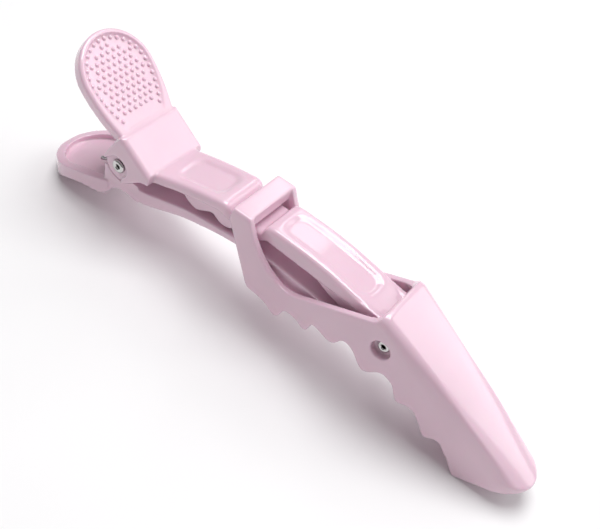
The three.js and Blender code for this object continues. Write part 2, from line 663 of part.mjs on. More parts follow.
const clip = new THREE.Group();
clip.add(pieceMesh('lower_lever', lowerLever(), plastic(0xe9c6da)));
clip.add(pieceMesh('upper_lever', upperLever(), plastic(0xebcadd)));
clip.add(pieceMesh('jaw', jaw(), plastic(0xecccde)));
clip.add(pieceMesh('main_rivet', mainRivet, steel(0xd9dadb)));
clip.add(pieceMesh('jaw_rivet', jawRivet, steel(0xd9dadb)));
clip.add(pieceMesh('torsion_spring', torsionSpring(), steel(0xc9cacc)));

// Tilt the clip until its two lowest places are level, then stand the middle
// of its box on the origin.
const restTilt = Math.atan2(REST_REAR.z - REST_FRONT.z, REST_FRONT.x - REST_REAR.x);
clip.rotation.y = -restTilt;
clip.updateMatrixWorld(true);
const box = new THREE.Box3().setFromObject(clip, true);
const middle = box.getCenter(new THREE.Vector3());
clip.position.set(-middle.x, -middle.y, -box.min.z);

const group = new THREE.Group();
group.add(clip);

export default group;
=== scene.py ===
"""The looks of the double-hinged sectioning clip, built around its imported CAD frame.

The three mouldings, the two rivets and the spring are drawn in millimetres in a working
frame: the main pivot at the origin, +X forward to the jaw pivot, +Y to the left, +Z up.
A moulding is cut from solids, remeshed as one skin and softened, as a mould leaves an
edge. A rivet is a tube with rolled ends, and the spring is round wire along a line. Each
piece is then placed in the row frame by the two hinge points that the frame gives.
"""
import json
import math

import bmesh
import bpy
import numpy as np
from mathutils import Matrix, Quaternion, Vector
from mathutils.bvhtree import BVHTree


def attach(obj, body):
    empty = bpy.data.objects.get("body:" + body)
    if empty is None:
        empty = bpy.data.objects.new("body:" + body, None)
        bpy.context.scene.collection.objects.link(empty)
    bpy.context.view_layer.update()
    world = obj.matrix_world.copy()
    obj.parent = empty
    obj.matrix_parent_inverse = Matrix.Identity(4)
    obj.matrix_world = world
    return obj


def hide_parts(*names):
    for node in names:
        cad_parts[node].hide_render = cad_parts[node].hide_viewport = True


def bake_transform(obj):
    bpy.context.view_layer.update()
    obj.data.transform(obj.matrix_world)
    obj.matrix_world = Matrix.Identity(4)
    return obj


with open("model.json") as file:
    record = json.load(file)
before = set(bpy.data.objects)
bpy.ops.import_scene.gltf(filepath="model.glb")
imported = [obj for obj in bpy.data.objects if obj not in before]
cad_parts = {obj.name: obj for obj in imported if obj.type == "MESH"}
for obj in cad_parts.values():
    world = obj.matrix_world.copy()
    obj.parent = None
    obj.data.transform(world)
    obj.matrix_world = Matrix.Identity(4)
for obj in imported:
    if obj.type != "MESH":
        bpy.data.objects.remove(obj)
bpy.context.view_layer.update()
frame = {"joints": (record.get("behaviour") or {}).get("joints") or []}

# ------------------------------------------------------------------ dimensions, mm
WIDE = 8.6                    # half width that clears every piece
PAST = 1.0                    # how far a cutter runs past what it cuts
CLEARANCE = 0.15              # round a pin in its bore
PIECE_GAP = 0.3               # between two pieces that move past each other

EAR_RADIUS = 3.3              # the clevis ears' round lower ends
EAR_OUTER = 7.2               # half width over the ears
EAR_INNER = 4.25              # half width of the slot between them
EAR_RECESS_RADIUS = 2.25      # sunk round the rivet
EAR_RECESS_DEPTH = 0.65

LUG_RADIUS = 2.9              # the lower lever's lugs, between the ears
LUG_OUTER = EAR_INNER - PIECE_GAP
LUG_INNER = 2.8
LUG_FOOT = -4.6               # height where the lugs run into the saddle

NECK = (0.6, 0.0, 6.5)        # where the thumb pad's top meets the clevis
CLEVIS_REAR = (1.0, 0.0, 6.9)  # the clevis stands a step above the neck
CLEVIS_FRONT = (7.4, 0.0, 2.4)
CLEVIS_EDGE_RADIUS = 1.0
THUMB_PAD_SLOPE = 43          # degrees
THUMB_PAD_LENGTH = 18.5
THUMB_PAD_HALF_WIDTH = 8.3
THUMB_PAD_NECK_HALF_WIDTH = 6.4
THUMB_PAD_DEPTH = 2.6         # full height of the cup's wall
THUMB_PAD_SKIN = 1.3          # thickness of the cup's floor
PAD_LEAN = 0.5                # how far the pads' walls lean in at the rim
PAD_WALL = 1.1
DISH_TILT = -2.2              # degrees: the thumb pad's dish is deepest at its round end
DISH_LIFT = 0.24

STUD_RADIUS = 0.40
STUD_HEIGHT = 0.34
STUD_PITCH = 1.34
STUD_EDGE_INSET = 1.75        # from the pad's edge to the outer row of studs
STUD_FRONT_ROW = -2.7
STUD_ROW_PITCH = STUD_PITCH * 0.87
STUD_ROWS = 14
UNDER_STUD_RADII = (4.3, 3.1, 1.9)             # curved rows under the finger pad
UNDER_STUD_COUNTS = (10, 7, 4)
UNDER_STUD_CENTRE_X = -12.6

ARM_EDGE_RADIUS = 0.9
ARM_FRONT_HALF_WIDTH = 4.4
ARM_END_HALF_WIDTH = 4.1      # beside the jaw's bosses
ARM_HALF_WIDTHS = [           # along x, seen from above
    (5, 5.6), (23.0, 5.1), (24.4, ARM_FRONT_HALF_WIDTH), (50, ARM_FRONT_HALF_WIDTH),
    (54, ARM_END_HALF_WIDTH), (60, ARM_END_HALF_WIDTH),
]
BITE_RIB_INNER = 2.9
BITE_RIB_OUTER = 4.1
FLANGE_INNER = 3.2
GUSSET_INNER = 1.9
GUSSET_OUTER = 4.05
ARM_BOSS_RADIUS = 1.95        # round the jaw's rivet
# The recesses on top of the arm, as (middle x, half length, half width).
ARM_RECESSES = [(15.4, 4.8, 2.9), (42.4, 8.9, 2.4)]
ARM_RECESS_RADIUS = 2.2
# A recess's wall slopes down in steps, as (how far it stands out, depth).
ARM_RECESS_WALL = [
    (0.75, 0.03), (0.6, 0.08), (0.45, 0.15), (0.3, 0.23), (0.15, 0.31), (0.0, 0.38), (-0.2, 0.43),
]

SADDLE_HALF_WIDTH = 6.3
SEAT_RADIUS = 3.65            # the hollow that the ears turn in
LOWER_ARM_HALF_WIDTH = 4.8
LOWER_ARM_WINDOW_HALF_WIDTH = 4.6              # where it shows in the jaw's window
LOWER_ARM_JAW_HALF_WIDTH = 4
LOWER_ARM_TIP_HALF_WIDTH = 2.1
FINGER_PAD_HALF_WIDTH = 7.6
FINGER_PAD_END = -19.9
FINGER_DISH_END = -18.0
GRIP_RIB_COUNT = 8
GRIP_RIB_PITCH = 1.28
GRIP_RIB_RADIUS = 0.42

JAW_WALL = 1.25
JAW_REAR_HALF_WIDTH = 6.45
JAW_FRONT_HALF_WIDTH = 4.9
JAW_APEX = (57.2, 6.7)
JAW_TIP_X = 89.4
JAW_NOSE = 6.2                # length of the half-oval front end
JAW_DOME = 0.7                # the crown's middle above its two soft creases
JAW_SHOULDER_DROP = 4.6       # from the creases down to the flat of the cheeks
CROWN_FALL = 19.5             # from the apex down to the tip
CROWN_BOW = 3.0
CROWN_HALF_WIDTH = 5.9        # between the creases, over the crossbar
CROWN_WINDOW_NARROWING = 1.5  # how much narrower it gets along the window
CROWN_TIP_NARROWING = 1.2     # and again towards the tip
ROOF_SLOPE_FACTOR = 1.18      # upright height of a sloping wall over its thickness
CROSSBAR_TOP = 7.9
CROSSBAR_THICKNESS = 2.6
CROSSBAR_FRONT_X = 29.0
CROSSBAR_SHOULDER_DROP = 1.1
WINDOW_MIDDLE_X = 42
JAW_RECESS_RADIUS = 1.85      # sunk round the rivet
JAW_RECESS_DEPTH = 1.35
JAW_BOSS_RADIUS = 2.9         # inside the cheeks, behind the recesses
JAW_BOSS_INNER = 4.4

MAIN_RIVET = {"shank": 0.95, "flange": 1.35, "bore": 0.4, "height": 0.45}
JAW_RIVET = {"shank": 0.9, "flange": 1.15, "bore": 0.4, "height": 0.28}
RIVET_ROLL_DEPTH = 0.3        # how far the rolled end runs down into the bore
RIVET_SIDES = 48

WIRE_RADIUS = 0.4
COIL_RADIUS = 1.75            # to the middle of the wire
COIL_TURNS = 4
COIL_PITCH = 0.86
COIL_MIDDLE_Y = -0.4
UPPER_LEG_ANGLE = 40          # degrees, where each leg leaves the coil
UPPER_LEG_LENGTH = 11.5
LOWER_LEG_ANGLE = -62
LOWER_LEG_LENGTH = 10.5
SPRING_WELL_RADIUS = 2.65
LEG_SLOT_HALF_WIDTH = 2.7

SKIN_VOXEL = 0.17             # mesh size of the moulded skins
SOFTENING_PASSES = 9

# ----------------------------------------------------------------------- stage, m
CAMERA_STAND = (0.04567, -0.10052, 0.13397)
CAMERA_AIM = (-0.0009, 0.00584, 0.008)
CAMERA_ROLL = 18.65           # degrees
CAMERA_LENS = 56.0            # mm, on a 36 mm sensor
FLOOR_RADIUS = 3.0
FLOOR_THICKNESS = 0.01

# ------------------------------------------------------------- the frame's two pivots
pivots = {joint["name"]: Vector(joint["pos_m"]) for joint in frame["joints"]}
main_pivot = pivots["main_hinge"]
forward = (pivots["jaw_hinge"] - main_pivot).normalized()
left = Vector((0, 1, 0))
up = forward.cross(left)
JAW_PIVOT_X = (pivots["jaw_hinge"] - main_pivot).length * 1000
to_row = Matrix.Translation(main_pivot) @ Matrix((forward, left, up)).transposed().to_4x4()
to_row = to_row @ Matrix.Scale(0.001, 4)


# ------------------------------------------------------------------ outlines, numpy
def rounded(corners, steps=7):
    """A closed outline through (x, y, radius) corners, each rounded by its radius."""
    points = []
    for i, corner in enumerate(corners):
        here = np.array(corner[:2], float)
        radius = corner[2] if len(corner) > 2 else 0
        before = np.array(corners[i - 1][:2], float) - here
        after = np.array(corners[(i + 1) % len(corners)][:2], float) - here
        lengths = np.linalg.norm(before), np.linalg.norm(after)
        reach = min(radius, lengths[0] * 0.49, lengths[1] * 0.49)
        if reach == 0:
            points.append(here)
            continue
        start = here + before / lengths[0] * reach
        end = here + after / lengths[1] * reach
        for t in np.linspace(0, 1, steps + 1):
            points.append((1 - t) ** 2 * start + 2 * t * (1 - t) * here + t * t * end)
    return np.array(points)


def arc(radius, start, end, steps=24, x=0.0, y=0.0):
    """Points on an arc, its angles in radians."""
    angles = np.linspace(start, end, steps + 1)
    return np.column_stack([x + radius * np.cos(angles), y + radius * np.sin(angles)])


def circle(radius, x=0.0, y=0.0, steps=48):
    """A full circle, without its last point twice."""
    return arc(radius, 0, 2 * math.pi, steps, x, y)[:-1]


def through(points, steps=8):
    """A smooth line through points (uniform Catmull-Rom)."""
    given = np.array(points, float)
    padded = np.vstack([given[:1], given, given[-1:]])
    line = []
    for a, b, c, d in zip(padded, padded[1:], padded[2:], padded[3:]):
        for t in np.linspace(0, 1, steps, endpoint=False):
            slope_b = (c - a) / 2
            slope_c = (d - b) / 2
            line.append(
                (2 * b - 2 * c + slope_b + slope_c) * t ** 3
                + (3 * c - 3 * b - 2 * slope_b - slope_c) * t ** 2
                + slope_b * t
                + b
            )
    line.append(given[-1])
    return np.array(line)


def paddle(start, end, narrow, wide, steps=30):
    """A pad's plan: half width narrow at start, growing to wide, and a round end."""
    direction = math.copysign(1, end - start)
    centre = end - direction * wide
    t = np.linspace(0, 1, 16, endpoint=False)
    middle = (start + centre) / 2
    flank_x = (1 - t) ** 2 * start + 2 * t * (1 - t) * middle + t * t * centre
    flank_y = (1 - t) ** 2 * narrow + 2 * t * (1 - t) * wide + t * t * wide
    flank = np.column_stack([flank_x, flank_y])
    turn = np.linspace(math.pi / 2, -math.pi / 2, steps + 1)
    round_end = np.column_stack([centre + direction * wide * np.cos(turn), wide * np.sin(turn)])
    return np.vstack([flank, round_end, (flank * [1, -1])[::-1]])


def heights_at(outline, x):
    """The lowest and the highest height of an outline over x."""
    heights = []
    for (x0, y0), (x1, y1) in zip(outline, np.roll(outline, -1, axis=0)):
        if min(x0, x1) <= x <= max(x0, x1) and x0 != x1:
            heights.append(y0 + (y1 - y0) * (x - x0) / (x1 - x0))
    return min(heights), max(heights)


def round_topped(half_width, low, high, radius):
    """A section in y and z with its two upper corners rounded."""
    radius = min(radius, (high - low) * 0.6)
    turns = np.linspace(0, math.pi / 2, 7)
    y = half_width - radius * (1 - np.cos(turns))
    z = high - radius * (1 - np.sin(turns))
    y = np.concatenate([[half_width], y, -y[::-1], [-half_width]])
    return np.column_stack([y, np.concatenate([[low], z, z[::-1], [low]])])


# ------------------------------------------------------------------- solids, bmesh
def solid(points, faces):
    """A closed mesh object from points and faces, its faces turned outward."""
    mesh = bpy.data.meshes.new("solid")
    mesh.from_pydata([tuple(p) for p in points], [], faces)
    work = bmesh.new()
    work.from_mesh(mesh)
    bmesh.ops.recalc_face_normals(work, faces=work.faces)
    work.to_mesh(mesh)
    work.free()
    made = bpy.data.objects.new("solid", mesh)
    bpy.context.scene.collection.objects.link(made)
    return made


def loft(rings):
    """A closed solid through rings of equal length."""
    size = len(rings[0])
    faces = [tuple(range(size)), tuple(range((len(rings) - 1) * size, len(rings) * size))]
    for i in range(len(rings) - 1):
        for j in range(size):
            a = i * size + j
            b = i * size + (j + 1) % size
            faces.append((a, b, b + size, a + size))
    return solid(np.vstack(rings), faces)


def side_slab(outline, low, high):
    """An outline drawn in x and z, solid from y = low to y = high."""
    x, z = outline[:, 0], outline[:, 1]
    return loft([np.column_stack([x, np.full(len(x), y), z]) for y in (low, high)])


def end_slab(outline, low, high):
    """An outline drawn in y and z, solid from x = low to x = high."""
    y, z = outline[:, 0], outline[:, 1]
    return loft([np.column_stack([np.full(len(y), x), y, z]) for x in (low, high)])


def plan_slab(outline, low, high):
    """An outline drawn in x and y, solid from z = low to z = high."""
    return plan_loft([(outline, low), (outline, high)])


def plan_loft(levels):
    """A solid through plan outlines of equal length, each at its own height."""
    return loft([np.column_stack([o, np.full(len(o), z)]) for o, z in levels])


def pin(radius, low, high, x=0.0, z=0.0):
    """A round bar along Y."""
    return side_slab(circle(radius, x, z), low, high)


def both_sides(make, inner, outer):
    """Two solids alike, between two half widths, one to the left and one to the right."""
    return [make(inner, outer), make(-outer, -inner)]


def apply_modifiers(thing):
    """Turns what the modifiers show into the object's own mesh."""
    bpy.context.view_layer.update()
    graph = bpy.context.evaluated_depsgraph_get()
    mesh = bpy.data.meshes.new_from_object(thing.evaluated_get(graph))
    thing.modifiers.clear()
    thing.data = mesh
    return thing


def combine(operation, body, others):
    """Joins a body with others, cuts it by them or keeps what is inside them, using them up."""
    for other in others:
        step = body.modifiers.new("step", "BOOLEAN")
        step.operation = operation
        step.solver = "MANIFOLD"
        step.object = other
    apply_modifiers(body)
    for other in others:
        bpy.data.objects.remove(other)
    return body


def join(body, *others):
    return combine("UNION", body, others)


def cut(body, *others):
    return combine("DIFFERENCE", body, others)


def keep_inside(body, other):
    return combine("INTERSECT", body, [other])


def turn(thing, degrees, move=(0, 0, 0)):
    """Turns a solid about the Y axis, then moves it."""
    spin = Matrix.Rotation(math.radians(degrees), 4, "Y")
    thing.data.transform(Matrix.Translation(Vector(move)) @ spin)
    return thing


def mould(thing, passes=SOFTENING_PASSES, voxel=SKIN_VOXEL):
    """One closed skin with every edge and corner softened."""
    skin = thing.modifiers.new("skin", "REMESH")
    skin.mode = "VOXEL"
    skin.voxel_size = voxel
    soften = thing.modifiers.new("soften", "SMOOTH")
    soften.factor = 0.5
    soften.iterations = passes
    return apply_modifiers(thing)


def place(thing, name, body, node, material):
    """Puts a finished piece in the row frame, riding on its CAD body if it is given one."""
    thing.name = name
    thing.data.name = name
    thing.data.transform(to_row)
    thing.data.shade_smooth()
    thing.data.materials.clear()
    thing.data.materials.append(material)
    if body:
        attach(thing, body)
    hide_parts(node)
    return thing


# --------------------------------------------------------------------- upper lever
def thumb_pad_plan(inset, start=PAST):
    """The thumb pad from above, shrunk by inset."""
    return paddle(
        start, inset - THUMB_PAD_LENGTH,
        THUMB_PAD_NECK_HALF_WIDTH - inset, THUMB_PAD_HALF_WIDTH - inset,
    )


def thumb_pad():
    """A shallow cup that opens downward, with a round rim and a dished top.

    The rim and the dish are steps of (inset, height) that follow their soft curves.
    """
    rim = [(1.0, 0), (0.65, -0.05), (0.38, -0.2), (0.22, -0.45), (0.25, -0.8)]
    levels = [(thumb_pad_plan(PAD_LEAN), -THUMB_PAD_DEPTH)]
    levels += [(thumb_pad_plan(inset), z) for inset, z in reversed(rim)]
    cup = [
        (thumb_pad_plan(PAD_LEAN + PAD_WALL), -THUMB_PAD_DEPTH - PAST),
        (thumb_pad_plan(PAD_LEAN + PAD_WALL), -THUMB_PAD_DEPTH),
        (thumb_pad_plan(PAD_WALL + 0.1), -THUMB_PAD_SKIN - 0.4),
        (thumb_pad_plan(PAD_WALL + 0.6), -THUMB_PAD_SKIN),
    ]
    dish = turn(plan_loft([
        (thumb_pad_plan(1.1, -0.6), PAST),
        (thumb_pad_plan(1.1, -0.6), 0.1),
        (thumb_pad_plan(1.4, -0.8), -0.14),
        (thumb_pad_plan(1.9, -1.2), -0.28),
        (thumb_pad_plan(3.0, -2.2), -0.36),
    ]), DISH_TILT, (0, 0, DISH_LIFT))
    pad = cut(plan_loft(levels), plan_loft(cup), dish)
    return turn(pad, THUMB_PAD_SLOPE, NECK)


def clevis():
    """The block whose two ears go down outside the lower lever's lugs."""
    top_and_front = [
        (-0.2, 6.3), (0.25, 6.86), CLEVIS_REAR[::2], CLEVIS_FRONT[::2],
        (7.4, 0.5), (5.8, 0.2), (2.0, -2.62),
    ]
    ear = arc(EAR_RADIUS, start=-0.92, end=-3.63, steps=28)
    side = np.vstack([top_and_front, ear, [(-1.4, 4.6)]])
    slot = rounded([
        (-4.4, 4.2), (-2.4, 5.4), (-0.4, 4.7), (6.0, 0.4), (6.4, -4.5), (-4.4, -4.5),
    ])
    fall = math.atan2(CLEVIS_REAR[2] - CLEVIS_FRONT[2], CLEVIS_FRONT[0] - CLEVIS_REAR[0])
    rounding = turn(
        end_slab(round_topped(EAR_OUTER, -12, 0.02, CLEVIS_EDGE_RADIUS), -12, 12),
        math.degrees(fall), CLEVIS_REAR,
    )
    block = keep_inside(side_slab(side, -EAR_OUTER, EAR_OUTER), rounding)
    return cut(block, side_slab(slot, -EAR_INNER, EAR_INNER))


def ear_recess(low, high):
    """A cutter: round over the rivet, then open down and back to the edge of the ear."""
    channel = np.array([(2.15, 0.6), (0.4, -4.3), (-4.3, -4.3), (-4.3, -1.0), (-1.5, 1.7)])
    return join(pin(EAR_RECESS_RADIUS, low, high), side_slab(channel, low, high))


# The arm from the side, its top and then its underside, as (x, height, corner radius).
ARM_SIDE = [
    (6.2, 3.1), (7.4, 2.4), (15, 4.6, 4), (22.6, 6.1, 1), (24.6, 4.5, 0.8), (30.3, 4.4, 0.4),
    (31.1, 6.3, 0.6), (32.3, 6.7, 1), (42, 6.5, 6), (52.6, 4.3, 3), (58.4, 2.6, 1.5),
    (58.4, 0.6), (52, 2.4), (42, 4.5, 6), (33, 4.7, 1), (30.2, 2.4, 1), (24.4, 2.4, 1),
    (22.2, 4.0, 1), (14, 2.4, 4), (7.0, 0.2),
]


def upper_arm():
    """The arm, lofted along X with its long top edges rounded, and its two recesses."""
    side = rounded(ARM_SIDE, 10)
    places, widths = np.array(ARM_HALF_WIDTHS).T
    rings = []
    for x in np.linspace(6.4, 58.3, 240):
        low, high = heights_at(side, x)
        section = round_topped(np.interp(x, places, widths), low, high, ARM_EDGE_RADIUS)
        rings.append(np.column_stack([np.full(len(section), x), section]))
    arm = loft(rings)
    for centre, half_length, half_width in ARM_RECESSES:
        cut(arm, *[
            top_recess(side, centre, half_length + growth, half_width + growth, depth)
            for growth, depth in ARM_RECESS_WALL
        ])
    return arm


def top_recess(side, centre, half_length, half_width, depth):
    """A cutter for a racetrack recess whose floor follows the arm's top."""
    low, high = centre - half_length, centre + half_length
    plan = rounded([
        (low, -half_width, ARM_RECESS_RADIUS), (high, -half_width, ARM_RECESS_RADIUS),
        (high, half_width, ARM_RECESS_RADIUS), (low, half_width, ARM_RECESS_RADIUS),
    ])
    stations = np.linspace(low - PAST, high + PAST, 40)
    floor = np.array([(x, heights_at(side, x)[1] - depth) for x in stations])
    above = np.vstack([floor, [(stations[-1], 12), (stations[0], 12)]])
    return keep_inside(side_slab(above, -WIDE, WIDE), plan_slab(plan, 0, 12))


def bite_ribs(low, high):
    """A wavy rib under the arm, which bites on the lower arm."""
    return side_slab(rounded([
        (12.2, 3.0), (13.6, 0.4, 0.8), (16.2, -0.75, 1), (18.4, 0.5, 0.8), (19.8, 1.4, 0.8),
        (21.6, 0.1, 0.8), (23.4, 0.05, 0.9), (25.0, 1.3, 0.8), (26.6, 1.2, 0.8),
        (28.6, 0.3, 0.8), (29.6, 3.0), (24, 3.6), (21.5, 4.8), (14, 3.4),
    ]), low, high)


def front_flange(low, high):
    """A strip under the edge of the arm's front stretch, narrowed inside the jaw."""
    strip = side_slab(
        rounded([(30.8, 3.7, 0.5), (58, 2), (58, 3.4), (42, 5.6), (31.4, 5.8)]), low, high,
    )
    edge = np.array([
        (24, ARM_FRONT_HALF_WIDTH), (50, ARM_FRONT_HALF_WIDTH),
        (54, ARM_END_HALF_WIDTH), (62, ARM_END_HALF_WIDTH),
    ])
    plan = np.vstack([edge * [1, -1], edge[::-1]])
    return keep_inside(strip, plan_slab(plan, -5, 10))


def front_gusset(low, high):
    """A side wall that deepens the arm down to its boss on the jaw's rivet."""
    return side_slab(rounded([
        (39.5, 4.2), (45, 1.2, 1), (53.5, -1.5, 2), (JAW_PIVOT_X, -ARM_BOSS_RADIUS),
        (JAW_PIVOT_X + 0.4, 3.2), (42, 5.4),
    ]), low, high)


def arm_boss(low, high):
    return pin(ARM_BOSS_RADIUS, low, high, JAW_PIVOT_X)


def jaw_boss(low, high):
    return pin(JAW_BOSS_RADIUS, low, high, JAW_PIVOT_X)


def jaw_boss_room(low, high):
    return pin(JAW_BOSS_RADIUS + PIECE_GAP, low, high, JAW_PIVOT_X)


def upper_lever():
    """Thumb pad, clevis and arm in one moulding, bored for both rivets."""
    body = join(
        thumb_pad(), clevis(), upper_arm(),
        *both_sides(bite_ribs, BITE_RIB_INNER, BITE_RIB_OUTER),
        *both_sides(front_flange, FLANGE_INNER, ARM_FRONT_HALF_WIDTH),
        *both_sides(front_gusset, GUSSET_INNER, GUSSET_OUTER),
        *both_sides(arm_boss, GUSSET_INNER, GUSSET_OUTER),
    )
    cut(
        body,
        pin(MAIN_RIVET["shank"] + CLEARANCE, -WIDE, WIDE),
        pin(JAW_RIVET["shank"] + CLEARANCE, -WIDE, WIDE, JAW_PIVOT_X),
        *both_sides(ear_recess, EAR_OUTER - EAR_RECESS_DEPTH, WIDE),
        *both_sides(jaw_boss_room, JAW_BOSS_INNER - PIECE_GAP, WIDE),
    )
    above_pad = [(x, y, 3.0) for x, y in stud_places()]
    return add_studs(mould(body), above_pad, pad_frame(), (0, 0, -1))


def pad_frame():
    """From the flat drawing of the thumb pad to its sloping place."""
    return Matrix.Translation(Vector(NECK)) @ Matrix.Rotation(math.radians(THUMB_PAD_SLOPE), 4, "Y")


def stud_places():
    """An outer row along the pad's edge, then staggered rows inside it."""
    edge = thumb_pad_plan(STUD_EDGE_INSET, STUD_FRONT_ROW)
    steps = np.linalg.norm(np.diff(edge, axis=0), axis=1)
    along = np.concatenate([[0], np.cumsum(steps)])
    count = round(along[-1] / STUD_PITCH)
    marks = np.linspace(0, along[-1], count + 1)
    outer = np.column_stack([np.interp(marks, along, edge[:, k]) for k in (0, 1)])
    inner = []
    for row in range(STUD_ROWS):
        x = STUD_FRONT_ROW - row * STUD_ROW_PITCH
        shift = 0.5 * (row % 2)
        for column in range(-6, 7):
            spot = np.array([x, (column + shift) * STUD_PITCH])
            clear = np.linalg.norm(outer - spot, axis=1).min() > STUD_PITCH * 0.8
            if clear and within(spot, edge):
                inner.append(spot)
    return np.vstack([outer, inner])


def within(spot, outline):
    """True if a point is inside a closed outline."""
    inside = False
    for (x0, y0), (x1, y1) in zip(outline, np.roll(outline, -1, axis=0)):
        if (y0 > spot[1]) != (y1 > spot[1]):
            if spot[0] < x0 + (x1 - x0) * (spot[1] - y0) / (y1 - y0):
                inside = not inside
    return inside


def add_studs(body, places, drawing, inward):
    """Domed grip studs: each is seated where a ray from its place meets the skin.

    `places` and the ray's direction are given in `drawing`'s own axes.
    """
    skin = BVHTree.FromPolygons(
        [v.co for v in body.data.vertices], [p.vertices for p in body.data.polygons],
    )
    turned = drawing.to_3x3()
    domes = bmesh.new()
    for place_at in places:
        seat = skin.ray_cast(drawing @ Vector(place_at), turned @ Vector(inward))[0]
        shape = Matrix.Translation(seat) @ turned.to_4x4()
        shape = shape @ Matrix.Diagonal((STUD_RADIUS, STUD_RADIUS, STUD_HEIGHT, 1))
        bmesh.ops.create_uvsphere(domes, u_segments=14, v_segments=8, radius=1, matrix=shape)
    mesh = bpy.data.meshes.new("domes")
    domes.to_mesh(mesh)
    domes.free()
    studs = bpy.data.objects.new("domes", mesh)
    bpy.context.scene.collection.objects.link(studs)
    return join(body, studs)


# --------------------------------------------------------------------- lower lever
def underside_height(x):
    """The finger pad's underside: nearly level, then curling down to its end."""
    back = max(0.0, -7 - x)
    return -9.75 + 0.06 * (x + 4) - 0.035 * back * back


def finger_pad_plan(inset):
    """The finger pad from above, shrunk by inset."""
    return paddle(
        -1.0, inset + FINGER_PAD_END, SADDLE_HALF_WIDTH - inset, FINGER_PAD_HALF_WIDTH - inset,
    )


def finger_pad():
    """A curved slab with a dished top."""
    underside = [(x, underside_height(x), 1.2) for x in (-16.4, -13.5, -11, -8, -3.9)]
    side = rounded([
        (-2.6, -5.6), (-3.9, -5.9, 0.5), (-10, -7.4, 4), (FINGER_PAD_END, -10.4, 0.8),
        (-18.4, -14.4, 0.8), *underside, (-2.6, -8.2),
    ])
    wall = plan_loft([
        (finger_pad_plan(PAD_LEAN), -14.6), (finger_pad_plan(0), -7), (finger_pad_plan(0), -2),
    ])
    dish_side = rounded([
        (-4.4, -7.0, 0.5), (-10, -8.6, 4), (FINGER_DISH_END, -11.1, 1), (FINGER_DISH_END, -3),
        (-4.4, -3),
    ])
    dish_plan = paddle(-4.4, FINGER_DISH_END, 5.0, FINGER_PAD_HALF_WIDTH - 1.8)
    dish = keep_inside(side_slab(dish_side, -WIDE, WIDE), plan_slab(dish_plan, -16, -2))
    return cut(keep_inside(side_slab(side, -WIDE, WIDE), wall), dish)


def grip_ribs():
    """Round bars across the underside, level with its curve."""
    plan = paddle(-1, -18.6, SADDLE_HALF_WIDTH - 0.9, FINGER_PAD_HALF_WIDTH - 1.4)
    places = [-4.3 - i * GRIP_RIB_PITCH for i in range(GRIP_RIB_COUNT)]
    bars = [pin(GRIP_RIB_RADIUS, -WIDE, WIDE, x, underside_height(x)) for x in places]
    return keep_inside(join(*bars), plan_slab(plan, -18, -2))


def underside_studs():
    """Places well below rows of studs that curve round the pad's end, behind the ribs."""
    places = []
    for radius, count in zip(UNDER_STUD_RADII, UNDER_STUD_COUNTS):
        for angle in np.linspace(-0.47 * math.pi, 0.47 * math.pi, count):
            x = UNDER_STUD_CENTRE_X - radius * math.cos(angle)
            places.append((x, radius * math.sin(angle), -20.0))
    return places


def saddle():
    """The block under the clevis ears, with the two lugs that carry the rivet."""
    block = rounded([
        (-3.9, -1.9, 0.4), (0, -1.9), (0.4, -2.2), (4.5, -2.2, 0.4), (4.9, -6.2, 0.5),
        (1.4, -5.6, 2), (-1.4, -6.4, 2), (-2.8, -8.6, 1), (-3.9, -9.7, 0.4),
    ])
    lug = np.array([
        (-LUG_RADIUS, 0), (LUG_RADIUS, 0), (LUG_RADIUS, LUG_FOOT), (-LUG_RADIUS, LUG_FOOT),
    ])
    body = cut(
        side_slab(block, -SADDLE_HALF_WIDTH, SADDLE_HALF_WIDTH),
        pin(SEAT_RADIUS, -WIDE, WIDE),
    )
    body = join(
        body,
        *both_sides(lambda low, high: side_slab(lug, low, high), LUG_INNER, LUG_OUTER),
        *both_sides(lambda low, high: pin(LUG_RADIUS, low, high), LUG_INNER, LUG_OUTER),
    )
    leg_slot = np.array([(0, 0), (0, -2.5), (-3.2, -6.4), (-5.4, -7.3), (-5.4, 0)])
    return cut(body, side_slab(leg_slot, -LEG_SLOT_HALF_WIDTH, LEG_SLOT_HALF_WIDTH))


def lower_arm():
    """The arched arm: forward between the jaw's cheeks and in under its roof."""
    bottom = through([
        (3, -6.0), (9, -5.2), (18, -2.8), (28, -1.4), (38, -2.9), (50, -4.1), (64, -6.2),
        (73, -8.5), (79, -10.6),
    ])
    top = through([
        (79.3, -9.9), (73, -7.5), (64, -4.8), (50, -2.0), (38, -0.1), (28, 0.1), (18, -0.9),
        (9, -2.5), (3, -2.7),
    ])
    left_edge = [
        (80, LOWER_ARM_TIP_HALF_WIDTH, 2), (56, LOWER_ARM_JAW_HALF_WIDTH, 6),
        (47, LOWER_ARM_WINDOW_HALF_WIDTH, 6), (12, LOWER_ARM_HALF_WIDTH, 4),
        (5.5, SADDLE_HALF_WIDTH, 1), (2, SADDLE_HALF_WIDTH, 0),
    ]
    right_edge = [(x, -y, radius) for x, y, radius in reversed(left_edge)]
    plan = rounded(right_edge + left_edge, 10)
    return keep_inside(side_slab(np.vstack([bottom, top]), -WIDE, WIDE), plan_slab(plan, -14, 2))


def lower_lever():
    """Finger pad, saddle and arched arm in one moulding, with room for the spring."""
    body = cut(
        lower_arm(),
        *both_sides(lambda low, high: pin(SEAT_RADIUS, low, high), LUG_OUTER, WIDE),
    )
    body = join(body, saddle(), finger_pad())
    cut(
        body,
        pin(SPRING_WELL_RADIUS, -LUG_INNER, LUG_INNER),
        pin(MAIN_RIVET["shank"] + CLEARANCE, -WIDE, WIDE),
    )
    body = join(mould(body), grip_ribs())
    return add_studs(body, underside_studs(), Matrix.Identity(4), (0, 0, 1))


